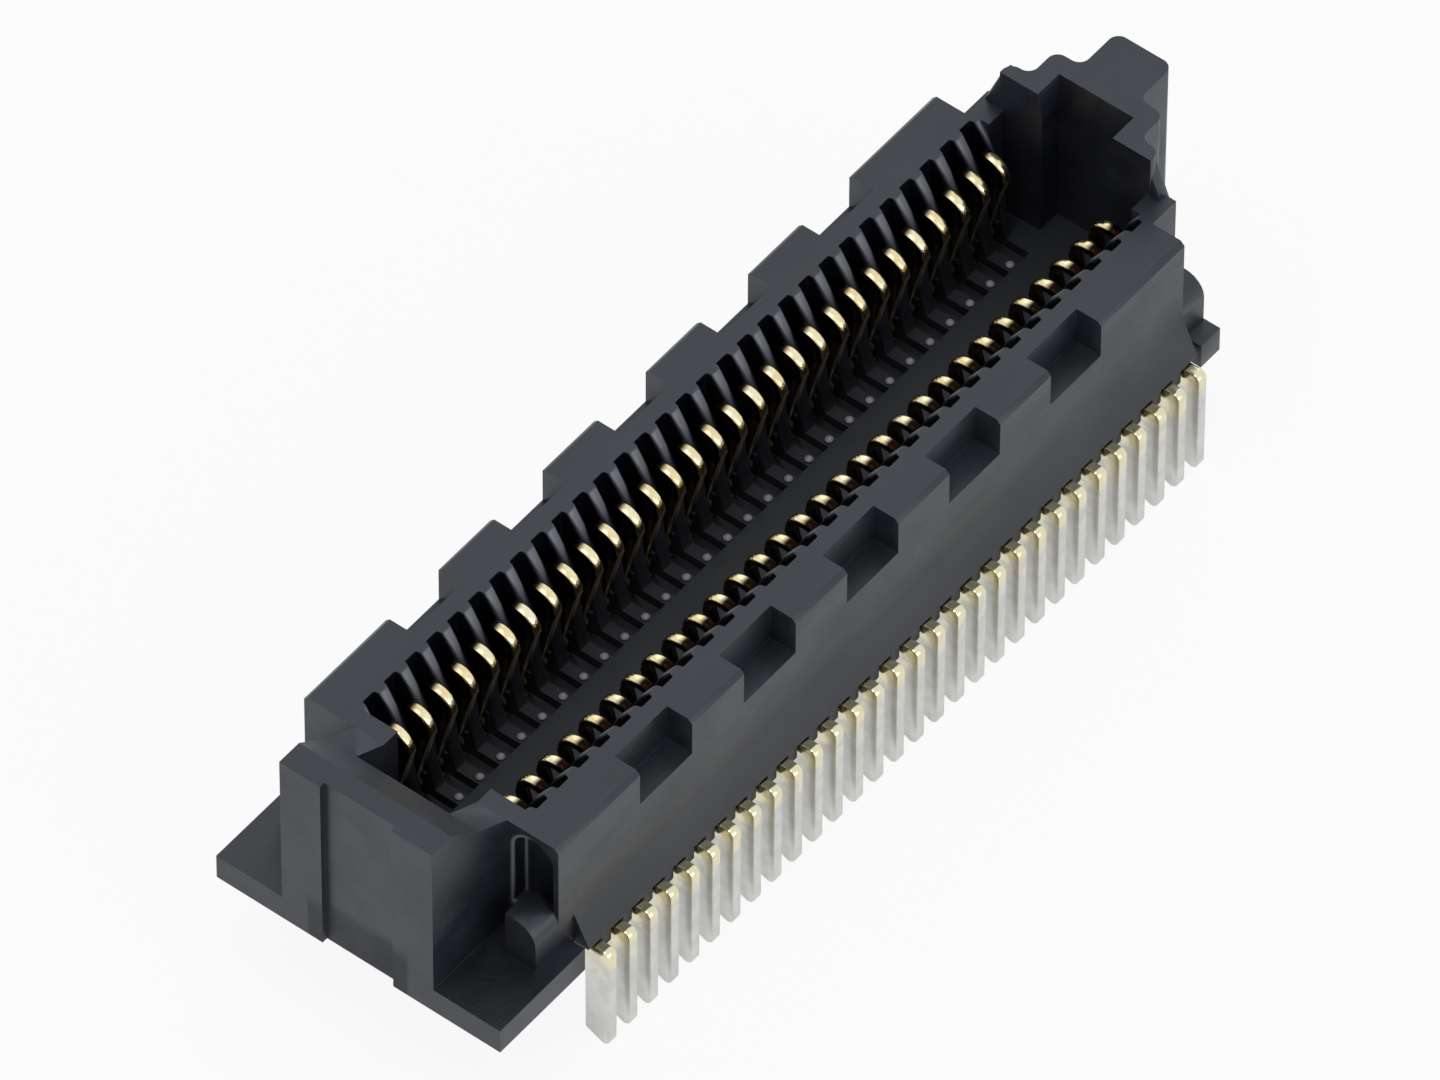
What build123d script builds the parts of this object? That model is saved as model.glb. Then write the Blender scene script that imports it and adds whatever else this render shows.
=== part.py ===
# Board to board connector, 0.8 mm pitch, two rows of thirty spring contacts in one moulded housing.
# Frame: +Z up, the way the mate comes off; +X along the rows towards the keyed nose; +Y to the rear.
# Origin: under the middle of the rows, on the plane of the tail tips. Lengths in millimetres.
import math
import os

from build123d import *

# Contact rows
PITCH = 0.80
CONTACTS_PER_ROW = 30
CONTACTS_PER_NODE = 2
BLADE_THICKNESS = 0.30
FIT_CLEARANCE = 0.01

# Contact heights, measured from the seat, which is the underside of the feet
TAIL_DROP = 2.94
TAIL_INNER_Y = 4.06
TAIL_OUTER_Y = 4.80
TAIL_END_RISE = 0.25
TAIL_END_RADIUS = 0.20
KNEE_TOP = 0.50
KNEE_RADIUS = 0.30
RUN_UNDERSIDE = 0.12
BASE_INNER_Y = 1.70
BASE_OUTER_Y = 2.50
BASE_TOP = 1.40
BASE_STEP = 0.15
BEAM_WIDTH = 0.24
BEAM_ROOT_Y = 1.78
BEAM_ROOT_FLARE = 0.05
CREST_INNER_Y = 1.27
CREST_RADIUS = 0.60
CREST_CENTRE_Z = 3.38
TIP_ANGLE = 55.0

# Housing, heights measured from the seat
HOUSING_HALF_LENGTH = 15.35
FOOT_HALF_WIDTH = 4.35
FOOT_THICKNESS = 0.80
FOOT_FAR_END = 12.86
FOOT_TO_BLADE = 0.35
WALL_TOP = 4.48
WALL_HALF_WIDTH = 3.88
WALL_NEAR_END = 12.52
WALL_FAR_END = 11.92
WALL_UNDERSIDE = 0.56
CORE_HALF_WIDTH = 3.60
EDGE_CHAMFER = 0.12
SKIRT_HALF_LENGTH = 11.95
SKIRT_OUTER_Y = 4.33
SKIRT_LIP = 0.10
SKIRT_TOP = 1.60

# Slots for the contacts, and the mating cavity
SLOT_WIDTH = 0.44
SLOT_OUTER_Y = 2.66
PIT_INNER_Y = 0.75
PIT_FLOOR = 0.60
CAVITY_FLOOR = 0.90
COMB_END = 0.40
FIN_PROFILE = [(1.45, 0.90), (1.60, 1.70), (1.70, 2.60), (1.90, 3.40), (2.20, 4.05), (2.48, 4.48)]

# Notches along the outer top edges, each centred on a contact
NOTCH_COUNT = 5
NOTCH_FIRST_CONTACT = 4
NOTCH_STEP = 5
NOTCH_WIDTH = 2.00
NOTCH_INNER_Y = 3.11
NOTCH_FLOOR = 3.28

# Near end post
POST_TOP = 5.84
POST_HALF_WIDTH = 2.32
NEAR_POST_FLAT = 0.75
NEAR_POST_INNER_X = 13.55
NEAR_POST_INNER_Z = 5.02
NEAR_CAVITY_HALF_WIDTH = 1.42
KEY_RECESS_HALF_WIDTH = 1.08
KEY_RECESS_DEPTH = 0.17

# Arched pockets in the walls' near ends
POCKET_Y = 3.11
POCKET_WIDTH = 1.22
POCKET_DEPTH = 0.50
POCKET_FLOOR = 1.60
POCKET_TOP = 4.28

# Rounded blocks on the feet, one past each end of both walls
BOSS_INNER_Y = 2.95
BOSS_TOP = 2.30
BOSS_RADIUS = 0.62
BOSS_REACH = 0.88

# Far end post with its keyed nose
NECK_HALF_WIDTH = 2.90
NOSE_UNDERSIDE = 0.65
FAR_POST_START = 12.55
NOSE_STEPS = [(12.95, 2.32), (13.95, 1.68), (15.35, 0.88)]
CORNER_RADIUS = 0.30
FAR_CAVITY_HALF_WIDTH = 2.20
KEYWAY_HALF_WIDTH = 1.00
KEYWAY_END = 13.25
LEAD_IN_WIDTH = 0.15
LEAD_IN_HEIGHT = 0.80

SEAT = TAIL_DROP
FIRST_X = -PITCH * (CONTACTS_PER_ROW - 1) / 2
COMB_HALF_LENGTH = -FIRST_X + COMB_END
FOOT_START = -FIRST_X + BLADE_THICKNESS / 2 + FOOT_TO_BLADE
CLEAR = 2.0


def block(x0, x1, y0, y1, z0, z1):
    """A box between two corners, its heights measured from the seat."""
    return Pos((x0 + x1) / 2, (y0 + y1) / 2, SEAT + (z0 + z1) / 2) * Box(x1 - x0, y1 - y0, z1 - z0)


def along_x(points, x0, x1):
    """A closed outline of (y, height) points, run from x0 to x1."""
    outline = Polyline([(x0, y, SEAT + z) for y, z in points], close=True)
    return extrude(make_face(outline), amount=x1 - x0, dir=(1, 0, 0))


def along_y(points, half_width):
    """A closed outline of (x, height) points, run across the middle plane."""
    outline = Polyline([(x, -half_width, SEAT + z) for x, z in points], close=True)
    return extrude(make_face(outline), amount=2 * half_width, dir=(0, 1, 0))


def both_sides(half):
    """A right-hand outline of (y, height) points, joined to its mirror image."""
    return half + [(-y, z) for y, z in reversed(half)]


def stepped_pad(steps, x0, z0, z1, radius):
    """A block stepping inward in plan along +X, its upright edges rounded."""
    side = []
    x = x0
    for end, half_width in steps:
        side += [(x, half_width), (end, half_width)]
        x = end
    points = side + [(x, -y) for x, y in reversed(side)]
    outline = Pos(0, 0, SEAT + z0) * make_face(Polyline(points, close=True))
    rounded = fillet([v for v in outline.vertices() if v.X > x0 + radius / 2], radius)
    return extrude(rounded, amount=z1 - z0, dir=(0, 0, 1))


def slot_row(y0, y1, width, z0, z1):
    """One upright cut for every contact of both rows."""
    centre, length = (y0 + y1) / 2, y1 - y0
    cuts = []
    for side in (-1, 1):
        places = Pos(0, side * centre, SEAT + z0) * GridLocations(PITCH, 0, CONTACTS_PER_ROW, 1)
        openings = Sketch() + [place * Rectangle(width, length) for place in places]
        cuts.append(extrude(openings, amount=z1 - z0))
    return cuts


def wall_body():
    """The two long side walls, flaring over the contacts, and the core between them."""
    half = [
        (CORE_HALF_WIDTH, 0),
        (CORE_HALF_WIDTH, WALL_UNDERSIDE),
        (WALL_HALF_WIDTH, WALL_UNDERSIDE),
        (WALL_HALF_WIDTH, WALL_TOP - EDGE_CHAMFER),
        (WALL_HALF_WIDTH - EDGE_CHAMFER, WALL_TOP),
    ]
    skirt = [
        (SKIRT_OUTER_Y, WALL_UNDERSIDE),
        (SKIRT_OUTER_Y, WALL_UNDERSIDE + SKIRT_LIP),
        (WALL_HALF_WIDTH, SKIRT_TOP),
    ]
    body = along_x(both_sides(half), -WALL_NEAR_END, WALL_FAR_END)
    return body + along_x(both_sides(skirt), -SKIRT_HALF_LENGTH, SKIRT_HALF_LENGTH)


def end_bosses():
    """The blocks past the ends of the walls, each with one long edge rounded outward."""
    centre_y, centre_z = WALL_HALF_WIDTH - BOSS_RADIUS, BOSS_TOP - BOSS_RADIUS
    turns = [math.radians(angle) for angle in range(0, 91, 15)]
    rounded = [(centre_y + BOSS_RADIUS * math.cos(t), centre_z + BOSS_RADIUS * math.sin(t)) for t in turns]
    outline = [(BOSS_INNER_Y, 0), (WALL_HALF_WIDTH, 0)] + rounded + [(BOSS_INNER_Y, BOSS_TOP)]
    bosses = []
    for side in (-1, 1):
        points = [(side * y, z) for y, z in outline]
        bosses.append(along_x(points, -WALL_NEAR_END - BOSS_REACH, -WALL_NEAR_END))
        bosses.append(along_x(points, WALL_FAR_END, WALL_FAR_END + BOSS_REACH))
    return bosses


def feet():
    """The flat feet under both ends."""
    near = block(-HOUSING_HALF_LENGTH, -FOOT_START, -FOOT_HALF_WIDTH, FOOT_HALF_WIDTH, 0, FOOT_THICKNESS)
    far = block(FOOT_START, FOOT_FAR_END, -FOOT_HALF_WIDTH, FOOT_HALF_WIDTH, 0, FOOT_THICKNESS)
    return near + far


def near_post():
    """The plain end post, its top falling towards the cavity and on down to the side walls."""
    outer = -HOUSING_HALF_LENGTH
    profile = [
        (outer, 0),
        (outer, POST_TOP),
        (outer + NEAR_POST_FLAT, POST_TOP),
        (-NEAR_POST_INNER_X, NEAR_POST_INNER_Z),
        (-WALL_NEAR_END, WALL_TOP),
        (-WALL_NEAR_END, 0),
    ]
    return along_y(profile, POST_HALF_WIDTH)


def far_post():
    """The far post with its keyed nose, stepped in plan and standing clear of the board."""
    neck = block(WALL_FAR_END, FOOT_FAR_END, -NECK_HALF_WIDTH, NECK_HALF_WIDTH, 0, WALL_TOP)
    return neck + stepped_pad(NOSE_STEPS, FAR_POST_START, NOSE_UNDERSIDE, POST_TOP, CORNER_RADIUS)


def lead_in():
    """The sloping mouth of the keyway."""
    x0, x1 = FAR_POST_START - LEAD_IN_WIDTH, KEYWAY_END
    low = Pos(0, 0, SEAT + POST_TOP - LEAD_IN_HEIGHT) * Pos((x0 + x1) / 2, 0, 0)
    high = Pos(0, 0, SEAT + POST_TOP) * Pos((x0 + x1) / 2 + LEAD_IN_WIDTH / 2, 0, 0)
    narrow = low * Rectangle(x1 - x0, 2 * KEYWAY_HALF_WIDTH)
    wide = high * Rectangle(x1 - x0 + LEAD_IN_WIDTH, 2 * (KEYWAY_HALF_WIDTH + LEAD_IN_WIDTH))
    return loft([narrow, wide])


def cavity():
    """The room for the mate: between the fins, then stepped into each end post."""
    top = POST_TOP + CLEAR
    half = FIN_PROFILE + [(FIN_PROFILE[-1][0], top)]
    cut = along_x(both_sides(half), -COMB_HALF_LENGTH, COMB_HALF_LENGTH)
    openings = [
        (-NEAR_POST_INNER_X, -COMB_HALF_LENGTH, NEAR_CAVITY_HALF_WIDTH),
        (COMB_HALF_LENGTH, FAR_POST_START, FAR_CAVITY_HALF_WIDTH),
        (FAR_POST_START, KEYWAY_END, KEYWAY_HALF_WIDTH),
    ]
    for x0, x1, half_width in openings:
        cut += block(x0, x1, -half_width, half_width, CAVITY_FLOOR, top)
    return cut


def notches():
    """The open pockets along the top outer edge of both side walls."""
    cuts = []
    for k in range(NOTCH_COUNT):
        x = FIRST_X + (NOTCH_FIRST_CONTACT + k * NOTCH_STEP) * PITCH
        for side in (-1, 1):
            low, high = sorted([side * NOTCH_INNER_Y, side * (FOOT_HALF_WIDTH + CLEAR)])
            cuts.append(
                block(x - NOTCH_WIDTH / 2, x + NOTCH_WIDTH / 2, low, high, NOTCH_FLOOR, WALL_TOP + CLEAR)
            )
    return cuts


def end_pockets():
    """The arched pockets in the near end faces of both side walls."""
    radius = POCKET_WIDTH / 2
    spring = POCKET_TOP - radius
    cuts = []
    for side in (-1, 1):
        x0 = -WALL_NEAR_END - CLEAR
        x1 = -WALL_NEAR_END + POCKET_DEPTH
        y = side * POCKET_Y
        cuts.append(block(x0, x1, y - radius, y + radius, POCKET_FLOOR, spring))
        arch = Pos((x0 + x1) / 2, y, SEAT + spring) * Rot(0, 90, 0) * Cylinder(radius, x1 - x0)
        cuts.append(arch)
    return cuts


def housing():
    """The moulded housing, one piece."""
    body = wall_body() + feet() + near_post() + far_post()
    body -= cavity()
    body -= lead_in()
    body -= notches()
    body -= end_pockets()
    body += end_bosses()
    face = -HOUSING_HALF_LENGTH
    body -= block(
        face - CLEAR, face + KEY_RECESS_DEPTH, -KEY_RECESS_HALF_WIDTH, KEY_RECESS_HALF_WIDTH,
        -CLEAR, POST_TOP + CLEAR,
    )
    body -= slot_row(FIN_PROFILE[0][0], SLOT_OUTER_Y, SLOT_WIDTH, BASE_TOP, WALL_TOP + CLEAR)
    body -= slot_row(PIT_INNER_Y, BASE_INNER_Y, SLOT_WIDTH, PIT_FLOOR, WALL_TOP + CLEAR)
    groove = BLADE_THICKNESS + 2 * FIT_CLEARANCE
    base_in, base_out = BASE_INNER_Y - FIT_CLEARANCE, BASE_OUTER_Y + FIT_CLEARANCE
    body -= slot_row(base_in, base_out, groove, -CLEAR, BASE_TOP + FIT_CLEARANCE)
    body -= slot_row(base_in, FOOT_HALF_WIDTH + CLEAR, groove, -CLEAR, KNEE_TOP + FIT_CLEARANCE)
    return body


def contact():
    """One blanked contact of the rear row, centred on x = 0: tip, crest, beam, base, run and tail."""
    centre_y = CREST_INNER_Y + CREST_RADIUS
    hollow = CREST_RADIUS - BEAM_WIDTH

    def at(y, z):
        return (0, y, SEAT + z)

    def on_crest(radius, angle):
        turn = math.radians(angle)
        return at(centre_y + radius * math.cos(turn), CREST_CENTRE_Z + radius * math.sin(turn))

    def corner(y, z, radius, side):
        reach = radius * math.cos(math.pi / 4)
        return at(y + reach, z + side * reach)

    toe_y, toe_z = TAIL_OUTER_Y - TAIL_END_RADIUS, -TAIL_DROP + TAIL_END_RADIUS
    knee_y, knee_z = TAIL_OUTER_Y - KNEE_RADIUS, KNEE_TOP - KNEE_RADIUS
    middle = (TIP_ANGLE + 180) / 2
    crest = [on_crest(CREST_RADIUS, angle) for angle in (TIP_ANGLE, middle, 180)]
    edges = [
        ThreePointArc(*crest),
        *Polyline(
            on_crest(CREST_RADIUS, 180),
            at(BEAM_ROOT_Y, BASE_TOP),
            at(BASE_INNER_Y, BASE_TOP - BASE_STEP),
            at(BASE_INNER_Y, RUN_UNDERSIDE),
            at(TAIL_INNER_Y, RUN_UNDERSIDE),
            at(TAIL_INNER_Y, -TAIL_DROP + TAIL_END_RISE),
            at(toe_y, -TAIL_DROP),
        ).edges(),
        ThreePointArc(
            at(toe_y, -TAIL_DROP), corner(toe_y, toe_z, TAIL_END_RADIUS, -1), at(TAIL_OUTER_Y, toe_z)
        ),
        Line(at(TAIL_OUTER_Y, toe_z), at(TAIL_OUTER_Y, knee_z)),
        ThreePointArc(at(TAIL_OUTER_Y, knee_z), corner(knee_y, knee_z, KNEE_RADIUS, 1), at(knee_y, KNEE_TOP)),
        *Polyline(
            at(knee_y, KNEE_TOP),
            at(BASE_OUTER_Y, KNEE_TOP),
            at(BASE_OUTER_Y, BASE_TOP),
            at(BEAM_ROOT_Y + BEAM_WIDTH + BEAM_ROOT_FLARE, BASE_TOP),
            on_crest(hollow, 180),
        ).edges(),
        ThreePointArc(on_crest(hollow, 180), on_crest(hollow, middle), on_crest(hollow, TIP_ANGLE)),
        Line(on_crest(hollow, TIP_ANGLE), on_crest(CREST_RADIUS, TIP_ANGLE)),
    ]
    blade = extrude(Face(Wire(edges)), amount=BLADE_THICKNESS, dir=(1, 0, 0))
    return Pos(-BLADE_THICKNESS / 2, 0, 0) * blade


def contact_groups():
    """The contacts of each row, in neighbouring pairs, with the name of each pair's node."""
    rear = contact()
    rows = {"rear": rear, "front": rear.mirror(Plane.XZ)}
    for row, blade in rows.items():
        for first in range(0, CONTACTS_PER_ROW, CONTACTS_PER_NODE):
            members = range(first, min(first + CONTACTS_PER_NODE, CONTACTS_PER_ROW))
            solids = [(Pos(FIRST_X + i * PITCH, 0, 0) * blade).solid() for i in members]
            yield f"{row}_contact_pair_{first // CONTACTS_PER_NODE + 1:02d}", Compound(solids)


def main():
    """Write one file for the housing and one for each pair of contacts."""
    os.makedirs("parts", exist_ok=True)
    export_step(housing(), "parts/housing.step")
    for name, pair in contact_groups():
        export_step(pair, f"parts/{name}.step")


if __name__ == "__main__":
    main()
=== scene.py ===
"""Looks for a fine-pitch board to board connector: moulded housing, plated contacts, pale studio."""

import logging
import math
from dataclasses import dataclass, field
from enum import Enum
from typing import Callable, Optional, Union

import bmesh
import bpy
from mathutils import Matrix, Quaternion, Vector


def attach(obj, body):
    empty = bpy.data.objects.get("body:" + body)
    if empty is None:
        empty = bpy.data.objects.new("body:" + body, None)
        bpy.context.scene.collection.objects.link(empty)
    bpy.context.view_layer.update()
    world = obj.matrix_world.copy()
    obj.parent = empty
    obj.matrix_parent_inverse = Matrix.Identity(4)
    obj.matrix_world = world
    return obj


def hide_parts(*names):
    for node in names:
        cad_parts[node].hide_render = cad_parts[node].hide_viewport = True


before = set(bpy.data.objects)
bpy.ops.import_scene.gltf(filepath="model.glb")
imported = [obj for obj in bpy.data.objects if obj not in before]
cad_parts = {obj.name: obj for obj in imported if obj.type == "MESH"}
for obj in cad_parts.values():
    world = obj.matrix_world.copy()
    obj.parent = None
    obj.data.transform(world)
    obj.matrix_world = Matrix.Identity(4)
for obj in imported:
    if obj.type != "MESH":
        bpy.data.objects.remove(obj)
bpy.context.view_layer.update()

MM = 0.001
NOISE_MEAN = 0.5
CONTACTS_PER_ROW = 30
# Millimetres; both heights are above the tail tips.
PITCH = 0.80
SEAT = 2.94
WALL_TOP = 7.42
log = logging.getLogger("connector")

Triple = tuple[float, float, float]
Span = tuple[float, float]
WHITE: Triple = (1.0, 1.0, 1.0)
# Painted shade, laid in the contact slots and on the cavity floor.
SHADE: Triple = (0.0030, 0.0034, 0.0062)
Owner = Union[bpy.types.Material, bpy.types.World]


def mm(low: float, high: float) -> Span:
    """Return two lengths in metres, given in millimetres."""
    return low * MM, high * MM


SLOT_ROW_END = mm(11.90, 12.00)


class Row(Enum):
    """The two contact rows, each with the side of the middle plane that it stands on."""

    REAR = 1
    FRONT = -1

    @property
    def node_prefix(self) -> str:
        """Return the start of the CAD node names of this row."""
        return f"{self.name.lower()}_contact_pair_"

    @property
    def turn(self) -> Matrix:
        """Return the turn that brings a rear piece into this row."""
        return Matrix.Identity(4) if self is Row.REAR else Matrix.Rotation(math.pi, 4, "Z")


class Wave:
    """A shader socket that takes part in Python arithmetic."""

    def __init__(self, paint: "Paint", socket: bpy.types.NodeSocket) -> None:
        """Wrap a socket.

        Args:
            paint: The node builder that the socket belongs to.
            socket: The output socket to wrap.
        """
        self.paint = paint
        self.socket = socket

    def _join(self, operation: str, *values: object) -> "Wave":
        """Add one Math node.

        Args:
            operation: The Math node's operation.
            values: Its inputs, as numbers or waves.

        Returns:
            The wave of the result.
        """
        return self.paint.node("ShaderNodeMath", {"operation": operation}, dict(enumerate(values)))

    def __add__(self, other: object) -> "Wave":
        """Return the sum."""
        return self._join("ADD", self, other)

    def __radd__(self, other: object) -> "Wave":
        """Return the sum, with the number first."""
        return self._join("ADD", other, self)

    def __sub__(self, other: object) -> "Wave":
        """Return the difference."""
        return self._join("SUBTRACT", self, other)

    def __rsub__(self, other: object) -> "Wave":
        """Return the difference, with the number first."""
        return self._join("SUBTRACT", other, self)

    def __mul__(self, other: object) -> "Wave":
        """Return the product."""
        return self._join("MULTIPLY", self, other)

    def __rmul__(self, other: object) -> "Wave":
        """Return the product, with the number first."""
        return self._join("MULTIPLY", other, self)

    def absolute(self) -> "Wave":
        """Return the value without its sign."""
        return self._join("ABSOLUTE", self)

    def root(self) -> "Wave":
        """Return the square root."""
        return self._join("SQRT", self)

    def at_least(self, other: object) -> "Wave":
        """Return the larger of two values."""
        return self._join("MAXIMUM", self, other)

    def from_pitch_line(self) -> "Wave":
        """Return the distance to the nearest whole multiple of the contact pitch."""
        return self._join("PINGPONG", self, PITCH * MM / 2)

    def ramp(self, span: Span) -> "Wave":
        """Stretch the values between two limits to 0 to 1.

        Args:
            span: The value that becomes 0, and the value that becomes 1.

        Returns:
            The clamped wave.
        """
        settings = {"interpolation_type": "SMOOTHSTEP"}
        return self.paint.node(
            "ShaderNodeMapRange", settings, {"Value": self, "From Min": span[0], "From Max": span[1]}
        )

    def fade(self, span: Span) -> "Wave":
        """Return 1 below the first limit, falling to 0 at the second."""
        return 1.0 - self.ramp(span)


@dataclass(frozen=True)
class Noise:
    """One layer of noise: its scale per metre, octaves, stretch along each axis, and contrast."""

    scale: float
    detail: float
    stretch: Triple = (1.0, 1.0, 1.0)
    contrast: Optional[Span] = None


class Paint:
    """The shader nodes of one material, or of the world."""

    def __init__(self, owner: Owner, output: str = "ShaderNodeOutputMaterial") -> None:
        """Empty the owner's nodes and add its output.

        Args:
            owner: The material or world.
            output: The type of its output node.
        """
        owner.use_nodes = True
        self.owner = owner
        self.tree = owner.node_tree
        self.tree.nodes.clear()
        self.output = self.tree.nodes.new(output)

    def node(self, kind: str, settings: dict, inputs: dict, out: Union[str, int] = 0) -> Wave:
        """Add one node.

        Args:
            kind: The node's type.
            settings: Values set on the node itself.
            inputs: Values or waves for its sockets, by name or number.
            out: The output socket to return.

        Returns:
            The wave of that output.
        """
        made = self.tree.nodes.new(kind)
        for key, value in settings.items():
            setattr(made, key, value)
        for key, value in inputs.items():
            self.feed(made.inputs[key], value)
        return Wave(self, made.outputs[out])

    def feed(self, socket: bpy.types.NodeSocket, value: object) -> None:
        """Set a socket's value, or link a wave to it.

        Args:
            socket: The input socket.
            value: A number, a colour, a vector or a wave.
        """
        if isinstance(value, Wave):
            self.tree.links.new(value.socket, socket)
        elif socket.type == "RGBA":
            socket.default_value = (*value, 1.0)
        else:
            socket.default_value = value

    def place(self) -> Wave:
        """Return the place on the object, in metres."""
        return self.node("ShaderNodeTexCoord", {}, {}, "Object")

    def axis(self, name: str) -> Wave:
        """Return the X, Y or Z coordinate of the place on the object."""
        return self.node("ShaderNodeSeparateXYZ", {}, {"Vector": self.place()}, name)

    def from_middle(self, name: str) -> Wave:
        """Return the distance from the middle plane across X or Y."""
        return self.axis(name).absolute()

    def from_contact(self) -> Wave:
        """Return the distance along the row from the nearest contact's middle."""
        return PITCH * MM / 2 - self.axis("X").from_pitch_line()

    def noise(self, layer: Noise) -> Wave:
        """Add one layer of noise on Object coordinates.

        Args:
            layer: The layer's scale, octaves, stretch and contrast.

        Returns:
            The noise, from 0 to 1.
        """
        vector = self.node("ShaderNodeMapping", {}, {"Vector": self.place(), "Scale": layer.stretch})
        inputs = {"Vector": vector, "Scale": layer.scale, "Detail": layer.detail}
        plain = self.node("ShaderNodeTexNoise", {}, inputs, "Fac")
        return plain.ramp(layer.contrast) if layer.contrast else plain

    def blend(self, share: object, first: object, second: object) -> Wave:
        """Mix two colours.

        Args:
            share: The share of the second colour.
            first: A colour or a wave.
            second: A colour or a wave.

        Returns:
            The mixed colour.
        """
        return self.node("ShaderNodeMix", {"data_type": "RGBA"}, {0: share, 6: first, 7: second}, 2)

    def bump(self, height: Wave, distance: float, strength: float) -> Wave:
        """Turn a height into a bumped normal.

        Args:
            height: The height wave.
            distance: How deep the bumps are, in metres.
            strength: How much they show, from 0 to 1.

        Returns:
            The normal.
        """
        inputs = {"Height": height, "Distance": distance, "Strength": strength}
        return self.node("ShaderNodeBump", {}, inputs, "Normal")

    def finish(self, shader: Wave) -> Owner:
        """Link a shader to the output.

        Args:
            shader: The shader's wave.

        Returns:
            The material or world.
        """
        self.tree.links.new(shader.socket, self.output.inputs["Surface"])
        return self.owner


@dataclass(frozen=True)
class FinTops:
    """Painted highlights along the fins' inner edges, light at their tops and narrowing downwards."""

    tone: Triple = (0.14, 0.145, 0.17)
    start_y: Span = mm(1.60, 1.80)
    end_y: Span = mm(2.46, 2.54)
    rise_z: Span = mm(6.10, 7.35)
    end_z: Span = mm(7.41, 7.43)
    side: Span = mm(0.12, 0.18)
    taper: float = 0.12

    def mask(self, paint: Paint) -> Wave:
        """Return 1 on the fins' inner edges at their tops, and 0 elsewhere.

        Args:
            paint: The node builder.

        Returns:
            The mask.
        """
        across, height = paint.from_middle("Y"), paint.axis("Z")
        band = across.ramp(self.start_y) * across.fade(self.end_y)
        rise = height.ramp(self.rise_z) * height.fade(self.end_z)
        narrowing = (WALL_TOP * MM - height) * self.taper
        ridge = (paint.axis("X").from_pitch_line() + narrowing).fade(self.side)
        return ridge * band * rise * paint.from_middle("X").fade(SLOT_ROW_END)


@dataclass(frozen=True)
class SlotWalls:
    """Painted shade on the walls of the contact slots, below the wall tops."""

    tone: Triple = SHADE
    rougher: float = -0.14
    start_y: Span = mm(2.00, 2.20)
    end_y: Span = mm(2.70, 2.72)
    side: Span = mm(0.24, 0.26)
    top_z: Span = mm(7.36, 7.40)

    def mask(self, paint: Paint) -> Wave:
        """Return 1 inside the slots, and 0 elsewhere.

        Args:
            paint: The node builder.

        Returns:
            The mask.
        """
        across = paint.from_middle("Y")
        band = across.ramp(self.start_y) * across.fade(self.end_y)
        inside = paint.from_contact().fade(self.side)
        return band * inside * paint.from_middle("X").fade(SLOT_ROW_END) * paint.axis("Z").fade(self.top_z)


@dataclass(frozen=True)
class CavityFloor:
    """Painted shade on the floor of the mating cavity."""

    tone: Triple = SHADE
    share: float = 0.7
    rougher: float = 0.22
    end_z: Span = mm(4.00, 4.60)
    end_y: Span = mm(1.45, 1.60)

    def mask(self, paint: Paint) -> Wave:
        """Return 1 on the cavity floor and below it, and 0 elsewhere."""
        return paint.axis("Z").fade(self.end_z) * paint.from_middle("Y").fade(self.end_y)


@dataclass(frozen=True)
class RibEnds:
    """Painted glints on the rounded rib ends on the cavity floor."""

    tone: Triple = (0.30, 0.30, 0.33)
    rougher: float = -0.15
    y: float = 0.87 * MM
    start_z: Span = mm(3.86, 3.89)
    end_z: Span = mm(4.05, 4.10)
    reach: Span = mm(0.14, 0.20)
    end_x: Span = mm(11.60, 11.70)

    def mask(self, paint: Paint) -> Wave:
        """Return 1 on the rib ends, and 0 elsewhere.

        Args:
            paint: The node builder.

        Returns:
            The mask.
        """
        height, along = paint.axis("Z"), paint.from_middle("X")
        near = (paint.from_middle("Y") - self.y).absolute().fade(self.reach)
        return height.ramp(self.start_z) * height.fade(self.end_z) * near * along.fade(self.end_x)


@dataclass(frozen=True)
class PocketRim:
    """Painted highlight on the rim and inner corner of the arched pocket in the front wall's near end."""

    tone: Triple = (0.19, 0.195, 0.23)
    y: float = 3.11 * MM
    centre_z: float = 6.61 * MM
    radius: float = 0.61 * MM
    face_x: float = 12.52 * MM
    back_x: float = 12.02 * MM
    width: Span = mm(0.02, 0.11)
    lit_side: Span = mm(-0.10, 0.35)
    face_depth: Span = mm(0.04, 0.09)
    back_depth: Span = mm(0.03, 0.08)
    back_side: Span = mm(0.50, 0.60)
    foot_z: Span = mm(4.30, 4.60)

    def mask(self, paint: Paint) -> Wave:
        """Return 1 along the rim's lit side and the inner corner, and 0 elsewhere.

        Args:
            paint: The node builder.

        Returns:
            The mask.
        """
        along, side, height = paint.axis("X"), paint.axis("Y") + self.y, paint.axis("Z")
        rise = (height - self.centre_z).at_least(0.0)
        ring = ((side * side + rise * rise).root() - self.radius).absolute().fade(self.width)
        face = (along + self.face_x).absolute().fade(self.face_depth) * side.ramp(self.lit_side)
        back = (along + self.back_x).absolute().fade(self.back_depth) * side.ramp(self.back_side)
        return ring * height.ramp(self.foot_z) * (face + back)


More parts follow.
